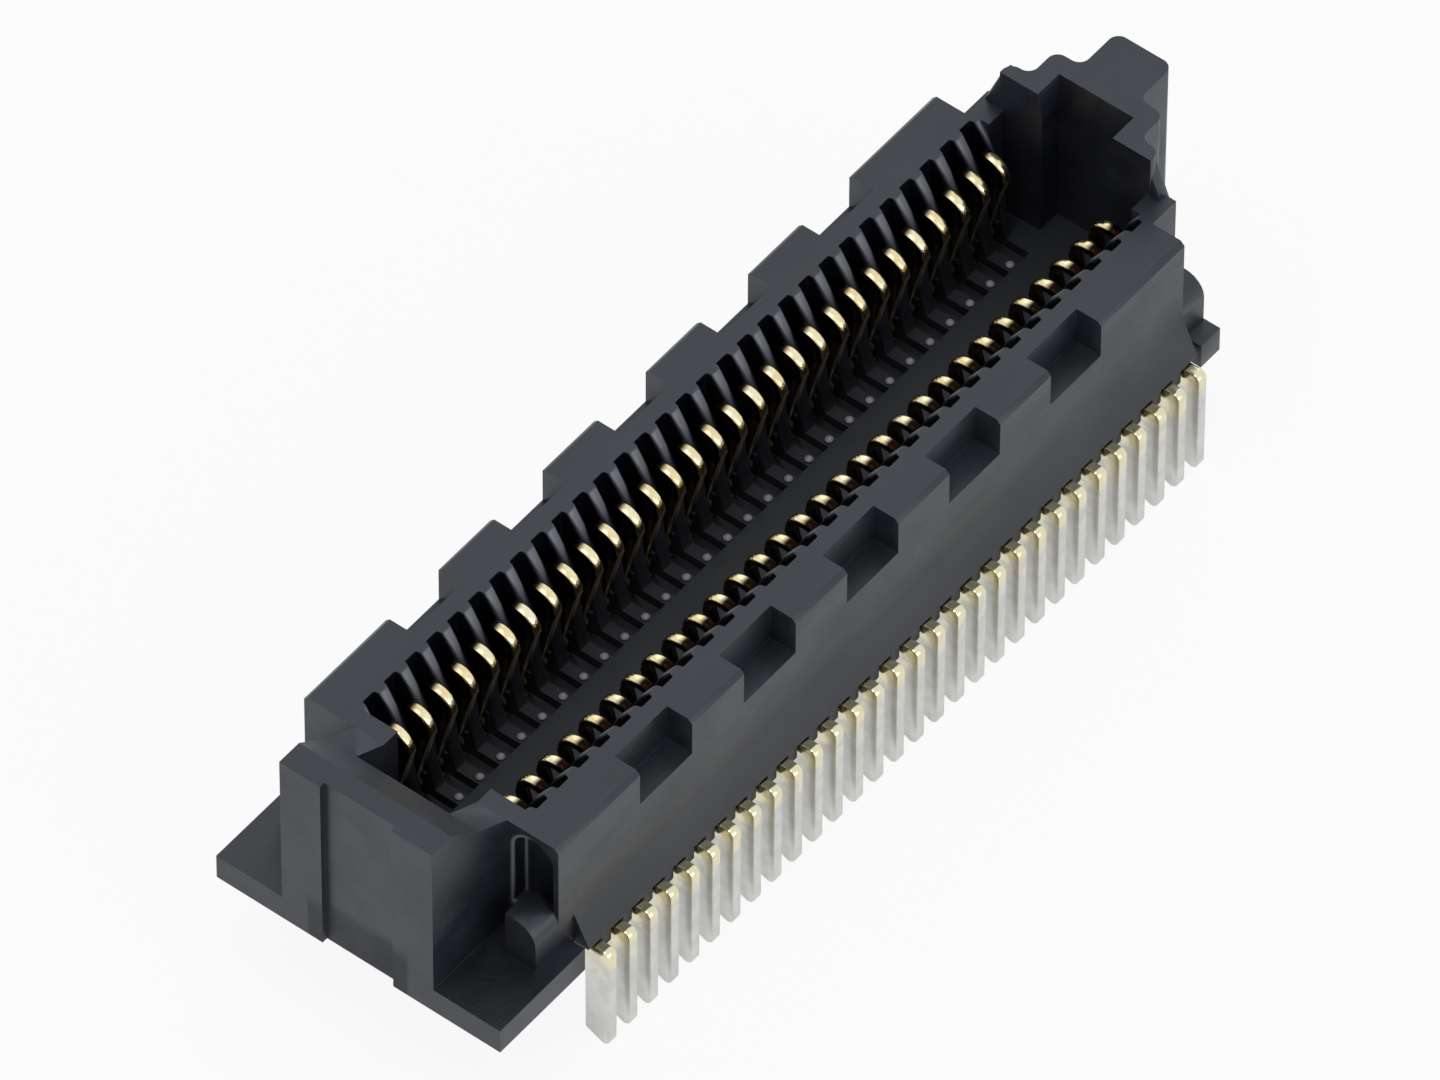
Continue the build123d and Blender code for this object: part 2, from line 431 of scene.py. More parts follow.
@dataclass(frozen=True)
class MouldedPlastic:
    """Dark glass-filled moulding, with faint flow marks and a fine grain."""

    name: str = "moulded_housing_plastic"
    dark: Triple = (0.004, 0.0045, 0.007)
    pale: Triple = (0.015, 0.016, 0.024)
    roughness: float = 0.40
    gloss_index: float = 1.55
    patches: Noise = Noise(420.0, 3.0, (0.6, 1.0, 1.0), (0.32, 0.70))
    streaks: Noise = Noise(900.0, 4.0, (0.6, 1.0, 1.2), (0.30, 0.72))
    grain: Noise = Noise(14000.0, 3.0)
    tone_shares: Triple = (0.55, 0.30, 0.15)
    streak_rougher: float = 0.12
    grain_rougher: float = 0.10
    grain_share: float = 0.7
    grain_depth: float = 0.012 * MM
    grain_strength: float = 0.55
    fin_tops: FinTops = FinTops()
    slot_walls: SlotWalls = SlotWalls()
    cavity_floor: CavityFloor = CavityFloor()
    rib_ends: RibEnds = RibEnds()
    pocket_rim: PocketRim = PocketRim()

    def material(self) -> bpy.types.Material:
        """Mix the moulding's tones, painted highlights and painted shade over its grain.

        Returns:
            The material.
        """
        paint = Paint(bpy.data.materials.new(self.name))
        patches, streaks, grain = (paint.noise(layer) for layer in (self.patches, self.streaks, self.grain))
        # Masks for the painted rib-end glints, the painted slot shade and the painted cavity-floor shade.
        ends, slots = self.rib_ends.mask(paint), self.slot_walls.mask(paint)
        floor = self.cavity_floor.mask(paint)
        shaded = floor * self.cavity_floor.share * (1.0 - ends)
        broad, drawn, fine = self.tone_shares
        colour = paint.blend(patches * broad + streaks * drawn + grain * fine, self.dark, self.pale)
        # Painted highlights on the fins' inner edges.
        colour = paint.blend(self.fin_tops.mask(paint), colour, self.fin_tops.tone)
        # Painted glints on the rounded rib ends.
        colour = paint.blend(ends, colour, self.rib_ends.tone)
        # Painted highlight on the rim of the front wall's near pocket.
        colour = paint.blend(self.pocket_rim.mask(paint), colour, self.pocket_rim.tone)
        # Painted shade on the cavity floor, spared at the rib ends.
        colour = paint.blend(shaded, colour, self.cavity_floor.tone)
        # Painted shade inside the contact slots.
        colour = paint.blend(slots, colour, self.slot_walls.tone)
        rough = self.roughness + (streaks - NOISE_MEAN) * self.streak_rougher
        rough = rough + (grain - NOISE_MEAN) * self.grain_rougher
        rough = rough + ends * self.rib_ends.rougher + slots * self.slot_walls.rougher
        rough = rough + floor * self.cavity_floor.rougher
        height = grain * self.grain_share + streaks * (1.0 - self.grain_share)
        normal = paint.bump(height, self.grain_depth, self.grain_strength)
        inputs = {"Base Color": colour, "Roughness": rough, "Normal": normal, "IOR": self.gloss_index}
        return paint.finish(paint.node("ShaderNodeBsdfPrincipled", {}, inputs))


@dataclass(frozen=True)
class PlatedMetal:
    """Gold on the crown of each crest, painted shade on its back and sides, a duller brown beam that is
    partly painted shade, and matte tin on the tail.
    """

    name: str = "plated_contact_metal"
    gold: Triple = (1.0, 0.86, 0.55)
    gold_shade: Triple = (0.94, 0.70, 0.36)
    knee: Triple = (0.84, 0.75, 0.47)
    # The beam's duller brown below the gold crest, partly its own plating and partly painted shade for the
    # beams down in the slots.
    bare: Triple = (0.44, 0.34, 0.23)
    # Painted shade for the back and sides of each crest.
    flank: Triple = (0.011, 0.0048, 0.0026)
    tin: Triple = (0.71, 0.69, 0.64)
    tin_shade: Triple = (0.57, 0.55, 0.50)
    tin_end_z: Span = mm(2.45, 3.45)
    tin_ragged: float = 0.5 * MM
    knee_end_z: Span = mm(3.50, 3.60)
    bare_start_z: Span = mm(3.60, 3.90)
    bare_end_z: Span = mm(5.70, 6.45)
    flank_start_z: Span = mm(5.90, 6.20)
    crown_end_y: Span = mm(1.74, 1.94)
    crown_side: Span = mm(0.115, 0.155)
    mottle: Noise = Noise(2600.0, 4.0, contrast=(0.30, 0.70))
    rolled: Noise = Noise(5200.0, 3.0, (1.0, 1.0, 0.12))
    mottle_share: float = 0.6
    roughness: float = 0.38
    gilt_smoother: float = 0.20
    roll_rougher: float = 0.12
    roll_depth: float = 0.004 * MM
    roll_strength: float = 0.35

    def _flanks(self, paint: Paint) -> Wave:
        """Return 1 on the crest's back and sides, where shade is painted, and 0 elsewhere.

        Args:
            paint: The node builder.

        Returns:
            The mask.
        """
        crown = paint.from_middle("Y").fade(self.crown_end_y) * paint.from_contact().fade(self.crown_side)
        return (1.0 - crown) * paint.axis("Z").ramp(self.flank_start_z)

    def material(self) -> bpy.types.Material:
        """Lay the finishes and the painted shade over each other from the tail up.

        Returns:
            The material.
        """
        paint = Paint(bpy.data.materials.new(self.name))
        mottle, rolled, height = paint.noise(self.mottle), paint.noise(self.rolled), paint.axis("Z")
        gilt = (height + (mottle - NOISE_MEAN) * self.tin_ragged).ramp(self.tin_end_z)
        # The beam below the crest, partly painted shade.
        beam = height.ramp(self.bare_start_z) * height.fade(self.bare_end_z)
        gold = paint.blend(mottle, self.gold_shade, self.gold)
        colour = paint.blend(height.ramp(self.knee_end_z), self.knee, gold)
        colour = paint.blend(beam, colour, self.bare)
        # Painted shade on the back and sides of each crest.
        colour = paint.blend(self._flanks(paint), colour, self.flank)
        spots = mottle * self.mottle_share + rolled * (1.0 - self.mottle_share)
        colour = paint.blend(gilt, paint.blend(spots, self.tin_shade, self.tin), colour)
        rough = self.roughness - gilt * self.gilt_smoother + (rolled - NOISE_MEAN) * self.roll_rougher
        normal = paint.bump(rolled, self.roll_depth, self.roll_strength)
        inputs = {"Base Color": colour, "Metallic": 1.0, "Roughness": rough, "Normal": normal}
        return paint.finish(paint.node("ShaderNodeBsdfPrincipled", {}, inputs))


@dataclass(frozen=True)
class StudioFloor:
    """White floor that shows white to the camera and keeps a soft shadow."""

    name: str = "studio_floor_white"
    colour: Triple = (0.90, 0.90, 0.90)
    mirrored_colour: Triple = (0.93, 0.96, 1.0)
    shadow_share: float = 0.10

    def material(self) -> bpy.types.Material:
        """Mix a matte floor with a plain white one for the rays that see it.

        Returns:
            The material.
        """
        paint = Paint(bpy.data.materials.new(self.name))
        matte = paint.node("ShaderNodeBsdfDiffuse", {}, {"Color": self.colour})
        seen = paint.node("ShaderNodeLightPath", {}, {}, "Is Camera Ray")
        mirrored = paint.node("ShaderNodeLightPath", {}, {}, "Is Glossy Ray")
        tint = paint.blend(mirrored, WHITE, self.mirrored_colour)
        plain = paint.node("ShaderNodeEmission", {}, {"Color": tint, "Strength": 1.0})
        share = (seen + mirrored) * (1.0 - self.shadow_share)
        return paint.finish(paint.node("ShaderNodeMixShader", {}, {0: share, 1: matte, 2: plain}))


class Bench:
    """Edit-mode helpers shared by the pieces."""

    @staticmethod
    def clear() -> None:
        """Leave edit mode and deselect everything."""
        if bpy.context.object and bpy.context.object.mode != "OBJECT":
            bpy.ops.object.mode_set(mode="OBJECT")
        bpy.ops.object.select_all(action="DESELECT")

    @staticmethod
    def take(piece: bpy.types.Object) -> None:
        """Make one object the only one selected, and active.

        Args:
            piece: The object to work on.
        """
        Bench.clear()
        piece.hide_set(False)
        piece.select_set(True)
        bpy.context.view_layer.objects.active = piece

    @staticmethod
    def place(name: str, data: bpy.types.Mesh) -> bpy.types.Object:
        """Put a mesh in the scene as a new object, and take it.

        Args:
            name: The object's name.
            data: Its mesh.

        Returns:
            The object.
        """
        piece = bpy.data.objects.new(name, data)
        bpy.context.scene.collection.objects.link(piece)
        Bench.take(piece)
        return piece

    @staticmethod
    def box(name: str, low: Triple, high: Triple) -> bpy.types.Object:
        """Add a box between two corners, for a detail to be shaped from.

        Args:
            name: The new object's name.
            low: Its lowest corner, in millimetres.
            high: Its highest corner, in millimetres.

        Returns:
            The box, with its place in its mesh.
        """
        Bench.clear()
        first, second = Vector(low) * MM, Vector(high) * MM
        bpy.ops.mesh.primitive_cube_add(size=1.0, location=(first + second) / 2)
        added = bpy.context.object
        added.name = name
        added.scale = second - first
        bpy.ops.object.transform_apply(location=True, rotation=True, scale=True)
        return added

    @staticmethod
    def pick_by_corners(piece: bpy.types.Object, kind: str, test: Callable[[list[Vector]], bool]) -> int:
        """Select vertices, edges or faces of the edited mesh by their corners.

        Args:
            piece: The object in edit mode.
            kind: VERT, EDGE or FACE.
            test: Says for a list of corners whether the part is taken.

        Returns:
            How many were taken.
        """
        bpy.ops.mesh.select_mode(type=kind)
        bpy.ops.mesh.select_all(action="DESELECT")
        edited = bmesh.from_edit_mesh(piece.data)
        groups = {"VERT": edited.verts, "EDGE": edited.edges, "FACE": edited.faces}
        taken = 0
        for part in groups[kind]:
            corners = [part.co] if kind == "VERT" else [corner.co for corner in part.verts]
            if test(corners):
                part.select_set(True)
                taken += 1
        bmesh.update_edit_mesh(piece.data)
        return taken

    @staticmethod
    def pick(piece: bpy.types.Object, kind: str, test: Callable[[Vector], bool]) -> int:
        """Select vertices, edges or faces of the edited mesh by their middle.

        Args:
            piece: The object in edit mode.
            kind: VERT, EDGE or FACE.
            test: Says for a middle point whether it is taken.

        Returns:
            How many were taken.
        """
        return Bench.pick_by_corners(piece, kind, lambda corners: test(sum(corners, Vector()) / len(corners)))

    @staticmethod
    def round_edges(width: float, segments: int) -> None:
        """Bevel the selected edges of the edited mesh by a width in millimetres."""
        bpy.ops.mesh.bevel(
            offset=width * MM, offset_pct=0, segments=segments, affect="EDGES", clamp_overlap=True
        )

    @staticmethod
    def turn_faces_out() -> None:
        """Point all faces of the edited mesh outwards."""
        bpy.ops.mesh.select_all(action="SELECT")
        bpy.ops.mesh.normals_make_consistent(inside=False)

    @staticmethod
    def modifier(piece: bpy.types.Object, kind: str, **settings: object) -> None:
        """Add a modifier and apply it.

        Args:
            piece: The object.
            kind: The modifier's type.
            settings: Its settings.
        """
        Bench.take(piece)
        added = piece.modifiers.new(kind.lower(), kind)
        for key, value in settings.items():
            setattr(added, key, value)
        bpy.ops.object.modifier_apply(modifier=added.name)

    @staticmethod
    def dress(piece: bpy.types.Object, material: bpy.types.Material, slot: str, nodes: list[str]) -> None:
        """Give a finished piece its material and its place in the frame.

        Args:
            piece: The finished piece.
            material: Its finish.
            slot: The name of a material slot; not used.
            nodes: The CAD nodes that it stands for.
        """
        piece.data.materials.clear()
        piece.data.materials.append(material)
        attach(piece, "root")
        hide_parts(*nodes)
        log.info("%s: %d faces, stands for %s", piece.name, len(piece.data.polygons), ", ".join(nodes))


@dataclass
class CombTooth:
    """One moulded tooth between two contact knees, under the skirt; heights are above the tail tips."""

    inner_y: float = 3.50
    outer_y: float = 4.30
    low: float = 2.99
    high: float = 3.56
    width: float = 0.38
    edge_radius: float = 0.05

    def model(self) -> bpy.types.Object:
        """Shape the rear row's tooth.

        Returns:
            The tooth, centred on x = 0.
        """
        half = self.width / 2
        tooth = Bench.box("comb_tooth", (-half, self.inner_y, self.low), (half, self.outer_y, self.high))
        Bench.modifier(tooth, "BEVEL", width=self.edge_radius * MM, segments=2, limit_method="ANGLE")
        return tooth


@dataclass
class PostGusset:
    """The sloped web between the far post and the rear wall; heights are above the tail tips."""

    near_x: float = 12.60
    far_x: float = 12.96
    inner_y: float = 2.20
    outer_y: float = 2.90
    top_y: float = 2.30
    low: float = 7.20
    high: float = 8.74
    front_shift: float = 0.22
    edge_radius: float = 0.05
    edge_reach: float = 0.01

    def model(self) -> bpy.types.Object:
        """Shape the rear side's web by drawing a box's outer top edge inwards.

        Returns:
            The web, in its place.
        """
        near, far = (self.near_x, self.inner_y, self.low), (self.far_x, self.outer_y, self.high)
        web = Bench.box("post_gusset", near, far)
        bpy.ops.object.mode_set(mode="EDIT")
        top = Vector(((self.near_x + self.far_x) / 2, self.outer_y, self.high)) * MM
        Bench.pick(web, "EDGE", lambda spot: (spot - top).length < self.edge_reach * MM)
        bpy.ops.transform.translate(value=(0.0, (self.top_y - self.outer_y) * MM, 0.0))
        bpy.ops.object.mode_set(mode="OBJECT")
        Bench.modifier(web, "BEVEL", width=self.edge_radius * MM, segments=2, limit_method="ANGLE")
        return web

    def places(self) -> list[Matrix]:
        """Return the places of the rear web and of its mirror image at the front."""
        shift = Matrix.Translation((0.0, self.front_shift * MM, 0.0))
        return [Matrix.Identity(4), shift @ Matrix.Scale(-1, 4, (0.0, 1.0, 0.0))]


@dataclass
class RibNub:
    """The rounded inner end of one rib on the cavity floor; heights are above the tail tips."""

    y: float = 0.87
    z: float = 3.82
    radius: float = 0.13

    def model(self) -> bpy.types.Object:
        """Shape the rear row's nub.

        Returns:
            The nub, centred on x = 0.
        """
        Bench.clear()
        bpy.ops.mesh.primitive_uv_sphere_add(
            segments=12, ring_count=8, radius=self.radius * MM, location=(0.0, self.y * MM, self.z * MM)
        )
        bpy.ops.object.transform_apply(location=True, rotation=True, scale=True)
        bpy.context.object.name = "rib_nub"
        return bpy.context.object


@dataclass
class HousingMoulding:
    """The moulded housing, with a mould's small radii on its edges; heights are above the seat."""

    node: str = "housing"
    merge: float = 0.002
    flat_angle: float = 0.6
    edge_radius: float = 0.06
    edge_angle: float = 32.0
    smooth_angle: float = 34.0
    # Up the inner edge of a fin: distance from the middle plane, and height.
    fin_profile: tuple[Span, ...] = (
        (1.45, 0.90),
        (1.60, 1.70),
        (1.70, 2.60),
        (1.90, 3.40),
        (2.20, 4.05),
        (2.48, 4.48),
    )
    fin_radius: float = 0.11
    slot_end: float = 2.66
    slot_radius: float = 0.13
    round_steps: int = 3
    same_x: float = 0.001
    least_rise: float = 0.05
    past_fin_step: float = 0.01
    off_fin: float = 0.015
    off_slot_end: float = 0.004
    # The rear wall's near pocket: its limits along the row, across it, and in height.
    pocket: tuple[Span, Span, Span] = ((-12.53, -12.00), (2.45, 3.75), (1.55, 4.30))
    tooth: CombTooth = field(default_factory=CombTooth)
    nub: RibNub = field(default_factory=RibNub)
    gusset: PostGusset = field(default_factory=PostGusset)

    def _on_fin(self, corner: Vector) -> bool:
        """Tell whether a corner lies on the inner edge of a fin.

        Args:
            corner: The corner, in metres.

        Returns:
            True on a fin's inner edge.
        """
        y, z = abs(corner.y) / MM, corner.z / MM - SEAT
        for (y0, z0), (y1, z1) in zip(self.fin_profile, self.fin_profile[1:]):
            if z0 - self.past_fin_step <= z <= z1 + self.past_fin_step:
                return abs(y0 + (y1 - y0) * (z - z0) / (z1 - z0) - y) < self.off_fin
        return False

    def _upright(self, corners: list[Vector]) -> bool:
        """Tell whether an edge rises without moving along the rows."""
        first, second = corners
        return abs(first.x - second.x) < self.same_x * MM and abs(first.z - second.z) > self.least_rise * MM

    def _fin_edge(self, corners: list[Vector]) -> bool:
        """Tell whether an edge runs down the inner side of a fin."""
        inside = abs(corners[0].x) < PITCH * CONTACTS_PER_ROW / 2 * MM
        return self._upright(corners) and inside and all(map(self._on_fin, corners))

    def _slot_edge(self, corners: list[Vector]) -> bool:
        """Tell whether an edge stands in an outer corner of a slot."""
        offsets = [abs(abs(corner.y) / MM - self.slot_end) for corner in corners]
        return self._upright(corners) and max(offsets) < self.off_slot_end

    def _in_pocket(self, corners: list[Vector]) -> bool:
        """Tell whether a face belongs to the rear wall's near pocket."""
        places = [(corner.x / MM, corner.y / MM, corner.z / MM - SEAT) for corner in corners]
        return all(low <= value <= high for place in places for value, (low, high) in zip(place, self.pocket))

    def _close_pocket(self, piece: bpy.types.Object) -> None:
        """Close the rear wall's near pocket, because that wall's end is plain.

        Args:
            piece: The housing in edit mode.
        """
        taken = Bench.pick_by_corners(piece, "FACE", self._in_pocket)
        bpy.ops.mesh.delete(type="FACE")
        bpy.ops.mesh.select_mode(type="EDGE")
        bpy.ops.mesh.select_all(action="DESELECT")
        bpy.ops.mesh.select_non_manifold(
            extend=False,
            use_wire=False,
            use_boundary=True,
            use_multi_face=False,
            use_non_contiguous=False,
            use_verts=False,
        )
        bpy.ops.mesh.fill()
        bpy.ops.mesh.select_all(action="SELECT")
        bpy.ops.mesh.delete_loose(use_verts=True, use_edges=True, use_faces=False)
        Bench.turn_faces_out()
        log.info("pocket: %d faces closed", taken)

    def _round_slots(self, piece: bpy.types.Object) -> None:
        """Round the fins' inner edges and the slots' outer ends.

        Args:
            piece: The housing in edit mode.
        """
        fins = Bench.pick_by_corners(piece, "EDGE", self._fin_edge)
        Bench.round_edges(self.fin_radius, self.round_steps)
        ends = Bench.pick_by_corners(piece, "EDGE", self._slot_edge)
        Bench.round_edges(self.slot_radius, self.round_steps)
        log.info("slots: %d fin edges and %d slot corners rounded", fins, ends)

    @staticmethod
    def _gap_places() -> list[Matrix]:
        """List the places between neighbouring contacts.

        Returns:
            The places in both rows, as moves from the rear row's middle.
        """
        gaps = CONTACTS_PER_ROW - 1
        steps = [(index - (gaps - 1) / 2) * PITCH * MM for index in range(gaps)]
        return [Matrix.Translation((step, 0, 0)) @ row.turn for row in Row for step in steps]

    @staticmethod
    def _add(piece: bpy.types.Object, pattern: bpy.types.Object, places: list[Matrix]) -> None:
        """Join copies of one detail to the housing.

        Args:
            piece: The housing, which takes the copies in.
            pattern: The detail; it is removed.
            places: Where each copy goes.
        """
        grown = bmesh.new()
        grown.from_mesh(piece.data)
        for place in places:
            copy = pattern.data.copy()
            copy.transform(place)
            if place.determinant() < 0:
                copy.flip_normals()
            grown.from_mesh(copy)
            bpy.data.meshes.remove(copy)
        grown.to_mesh(piece.data)
        grown.free()
        log.info("housing: %d copies of %s", len(places), pattern.name)
        bpy.data.objects.remove(pattern)

    def build(self, finish: MouldedPlastic) -> bpy.types.Object:
        """Round the edges of a merged copy of the CAD solid, and add its small details.

        Args:
            finish: The plastic.

        Returns:
            The finished piece.
        """
        piece = Bench.place("housing_moulding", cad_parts[self.node].data.copy())
        bpy.ops.object.mode_set(mode="EDIT")
        bpy.ops.mesh.select_all(action="SELECT")
        bpy.ops.mesh.remove_doubles(threshold=self.merge * MM)
        self._close_pocket(piece)
        bpy.ops.mesh.select_all(action="SELECT")
        bpy.ops.mesh.dissolve_limited(angle_limit=math.radians(self.flat_angle), delimit={"NORMAL"})
        self._round_slots(piece)
        bpy.ops.object.mode_set(mode="OBJECT")
        Bench.modifier(
            piece,
            "BEVEL",
            width=self.edge_radius * MM,
            segments=self.round_steps,
            limit_method="ANGLE",
            angle_limit=math.radians(self.edge_angle),
            use_clamp_overlap=True,
            miter_outer="MITER_ARC",
        )
        self._add(piece, self.tooth.model(), self._gap_places())
        self._add(piece, self.nub.model(), self._gap_places())
        self._add(piece, self.gusset.model(), self.gusset.places())
        Bench.take(piece)
        bpy.ops.object.shade_smooth_by_angle(angle=math.radians(self.smooth_angle))
        Bench.modifier(piece, "WEIGHTED_NORMAL", mode="FACE_AREA", weight=50, keep_sharp=True)
        Bench.dress(piece, finish.material(), "housing_plastic", [self.node])
        return piece


@dataclass
class SpringBlade:
    """One blanked contact of the rear row, modelled once and copied; heights are above the seat."""

    thickness: float = 0.30
    base_inner: float = 1.70
    base_outer: float = 2.50
    base_low: float = 0.12
    base_top: float = 1.40
    base_step: float = 0.15
    run_top: float = 0.50
    root_inner: float = 1.78
    root_outer: float = 2.07
    beam: float = 0.24
    crest_y: float = 1.87
    crest_z: float = 3.38
    crest_radius: float = 0.60
    crest_turn: float = 125.0
    crest_steps: int = 16
    crest_edge_radius: float = 0.095
    crest_edge_steps: int = 4
    tail_inner: float = 4.06
    tail_outer: float = 4.80
    tail_rise: float = 0.25
    toe_radius: float = 0.20
    toe_steps: int = 6
    edge_radius: float = 0.028
    edge_angle: float = 50.0
    smooth_angle: float = 40.0
    reach: float = 0.012
    same_x: float = 0.001
    cut_reach: float = 0.0005
    clear_of_end: float = 0.98

    def _at(self, y: float, z: float) -> Vector:
        """Return a point of the blade's middle plane, in metres."""
        return Vector((0.0, y * MM, (SEAT + z) * MM))

    def _near(self, y: float, z: float) -> Callable[[Vector], bool]:
        """Return a test for a middle point at one place of the blade."""
        spot = self._at(y, z)
        return lambda middle: (middle - spot).length < self.reach * MM

    def _on_crest(self, corners: list[Vector]) -> bool:
        """Tell whether an edge runs along the outside of the crest, on one side of the blade.

        Args:
            corners: The edge's two ends.

        Returns:
            True for such an edge.
        """
        centre = self._at(self.crest_y, self.crest_z)
        radii = [math.hypot(corner.y - centre.y, corner.z - centre.z) for corner in corners]
        on_arc = all(abs(radius - self.crest_radius * MM) < self.reach * MM for radius in radii)
        return on_arc and abs(corners[0].x - corners[1].x) < self.same_x * MM

    def model(self) -> bpy.types.Object:
        """Model the blade by extruding and spinning the edges of one plane.

        Returns:
            The blade, centred on x = 0.
        """
        Bench.clear()
        middle = self._at((self.base_inner + self.base_outer) / 2, (self.base_low + self.base_top) / 2)
        bpy.ops.mesh.primitive_plane_add(size=1.0, location=middle, rotation=(0, math.pi / 2, 0))
        blade = bpy.context.object
        blade.name = "spring_blade"
        blade.scale = ((self.base_top - self.base_low) * MM, (self.base_outer - self.base_inner) * MM, 1.0)
        bpy.ops.object.transform_apply(location=True, rotation=True, scale=True)
        bpy.ops.object.mode_set(mode="EDIT")
        self._cut((0.0, 1.0, 0.0), self._at(self.root_inner, 0))
        self._cut((0.0, 1.0, 0.0), self._at(self.root_outer, 0))
        self._cut((0.0, 0.0, 1.0), self._at(0, self.run_top))
        self._crest(blade)
        self._tail(blade)
        bpy.ops.mesh.select_all(action="SELECT")
        bpy.ops.mesh.remove_doubles(threshold=self.same_x * MM)
        Bench.turn_faces_out()
        bpy.ops.object.mode_set(mode="OBJECT")
        Bench.modifier(blade, "SOLIDIFY", thickness=self.thickness * MM, offset=0.0)
        Bench.take(blade)
        bpy.ops.object.mode_set(mode="EDIT")
        Bench.turn_faces_out()
        Bench.pick_by_corners(blade, "EDGE", self._on_crest)
        Bench.round_edges(self.crest_edge_radius, self.crest_edge_steps)
        bpy.ops.object.mode_set(mode="OBJECT")
        Bench.modifier(
            blade,
            "BEVEL",
            width=self.edge_radius * MM,
            segments=2,
            limit_method="ANGLE",
            angle_limit=math.radians(self.edge_angle),
        )
        return blade

    def _cut(self, normal: Triple, point: Vector) -> None:
        """Cut the edited mesh along one plane.

        Args:
            normal: The plane's normal.
            point: A point on it.
        """
        bpy.ops.mesh.select_all(action="SELECT")
        bpy.ops.mesh.bisect(plane_co=point, plane_no=normal, threshold=self.cut_reach * MM)

    @staticmethod
    def _pull(y: float, z: float) -> None:
        """Extrude the selected edges by a distance in millimetres."""
        bpy.ops.mesh.extrude_edges_move(TRANSFORM_OT_translate={"value": (0.0, y * MM, z * MM)})

    def _crest(self, blade: bpy.types.Object) -> None:
        """Raise the beam from the base and spin the crest over its top.

        Args:
            blade: The blade in edit mode.
        """
        Bench.pick(blade, "VERT", self._near(self.base_inner, self.base_top))
        bpy.ops.transform.translate(value=(0.0, 0.0, -self.base_step * MM))
        root = (self.root_inner + self.root_outer) / 2
        Bench.pick(blade, "EDGE", self._near(root, self.base_top))
        hollow = self.crest_y - self.crest_radius + self.beam / 2
        self._pull(hollow - root, self.crest_z - self.base_top)
        share = self.beam / (self.root_outer - self.root_inner)
        bpy.ops.transform.resize(value=(1.0, share, 1.0), center_override=self._at(hollow, self.crest_z))
        bpy.ops.mesh.spin(
            steps=self.crest_steps,
            angle=math.radians(self.crest_turn),
            center=self._at(self.crest_y, self.crest_z),
            axis=(1.0, 0.0, 0.0),
        )

    def _tail(self, blade: bpy.types.Object) -> None:
        """Run the contact outward to its knee and down to the rounded toe.

        Args:
            blade: The blade in edit mode.
        """
        height = (self.base_low + self.run_top) / 2
        Bench.pick(blade, "EDGE", self._near(self.base_outer, height))
        self._pull(self.tail_inner - self.base_outer, 0.0)
        toe = self.tail_outer - self.toe_radius
        self._pull(toe - self.tail_inner, 0.0)
        self._pull(self.toe_radius, 0.0)
        inner_test = self._near((self.tail_inner + toe) / 2, self.base_low)
        outer_test = self._near((toe + self.tail_outer) / 2, self.base_low)
        Bench.pick(blade, "EDGE", lambda spot: inner_test(spot) or outer_test(spot))
        self._pull(0.0, -SEAT - self.base_low)
        Bench.pick(blade, "VERT", self._near(self.tail_inner, -SEAT))
        bpy.ops.transform.translate(value=(0.0, 0.0, self.tail_rise * MM))
        self._round(blade, self.tail_outer, -SEAT)
        self._round(blade, self.tail_outer, self.run_top)

    def _round(self, blade: bpy.types.Object, y: float, z: float) -> None:
        """Round one outer corner of the flat outline.

        Args:
            blade: The blade in edit mode.
            y: The corner's place across the rows.
            z: Its height above the seat.
        """
        Bench.pick(blade, "VERT", self._near(y, z))
        bpy.ops.mesh.bevel(
            offset=self.toe_radius * self.clear_of_end * MM,
            offset_pct=0,
            segments=self.toe_steps,
            affect="VERTICES",
            clamp_overlap=True,
        )


@dataclass
class ContactRows:
    """Both rows of contacts, one piece for each neighbouring pair."""

    per_node: int = 2
    blade: SpringBlade = field(default_factory=SpringBlade)

    def build(self, finish: PlatedMetal) -> list[bpy.types.Object]:
        """Model one blade and copy it to every place in both rows.

        Args:
            finish: The plating.

        Returns:
            The pieces, one for each CAD node of a pair.
        """
        pattern = self.blade.model()
        material = finish.material()
        starts = range(0, CONTACTS_PER_ROW, self.per_node)
        pieces = [self._pair(pattern, row, first, material) for row in Row for first in starts]
        bpy.data.objects.remove(pattern)
        return pieces

    def _pair(
        self, pattern: bpy.types.Object, row: Row, first: int, material: bpy.types.Material
    ) -> bpy.types.Object:
        """Place the blades of one node.

        Args:
            pattern: The modelled blade.
            row: The row that the pair stands in.
            first: The number of its first contact.
            material: The plating.

        Returns:
            The piece.
        """
        mesh = bmesh.new()
        for index in range(first, first + self.per_node):
            copy = pattern.data.copy()
            step = (index - (CONTACTS_PER_ROW - 1) / 2) * PITCH * MM
            copy.transform(Matrix.Translation((step, 0, 0)) @ row.turn)
            mesh.from_mesh(copy)
            bpy.data.meshes.remove(copy)
        number = first // self.per_node + 1
        name = f"{row.name.lower()}_contacts_{number:02d}"
        data = bpy.data.meshes.new(name)
        mesh.to_mesh(data)
        mesh.free()
        piece = Bench.place(name, data)
        bpy.ops.object.shade_smooth_by_angle(angle=math.radians(self.blade.smooth_angle))
        Bench.dress(piece, material, "contact_metal", [f"{row.node_prefix}{number:02d}"])
        return piece


def direction(azimuth: float, elevation: float) -> Vector:
    """Turn a place round the object into the direction to it.

    Args:
        azimuth: The place's direction round the object, in degrees.
        elevation: Its height above the horizon, in degrees.

    Returns:
        The direction, of length 1.
    """
    turn, rise = math.radians(azimuth), math.radians(elevation)
    return Vector((math.sin(turn) * math.cos(rise), -math.cos(turn) * math.cos(rise), math.sin(rise)))


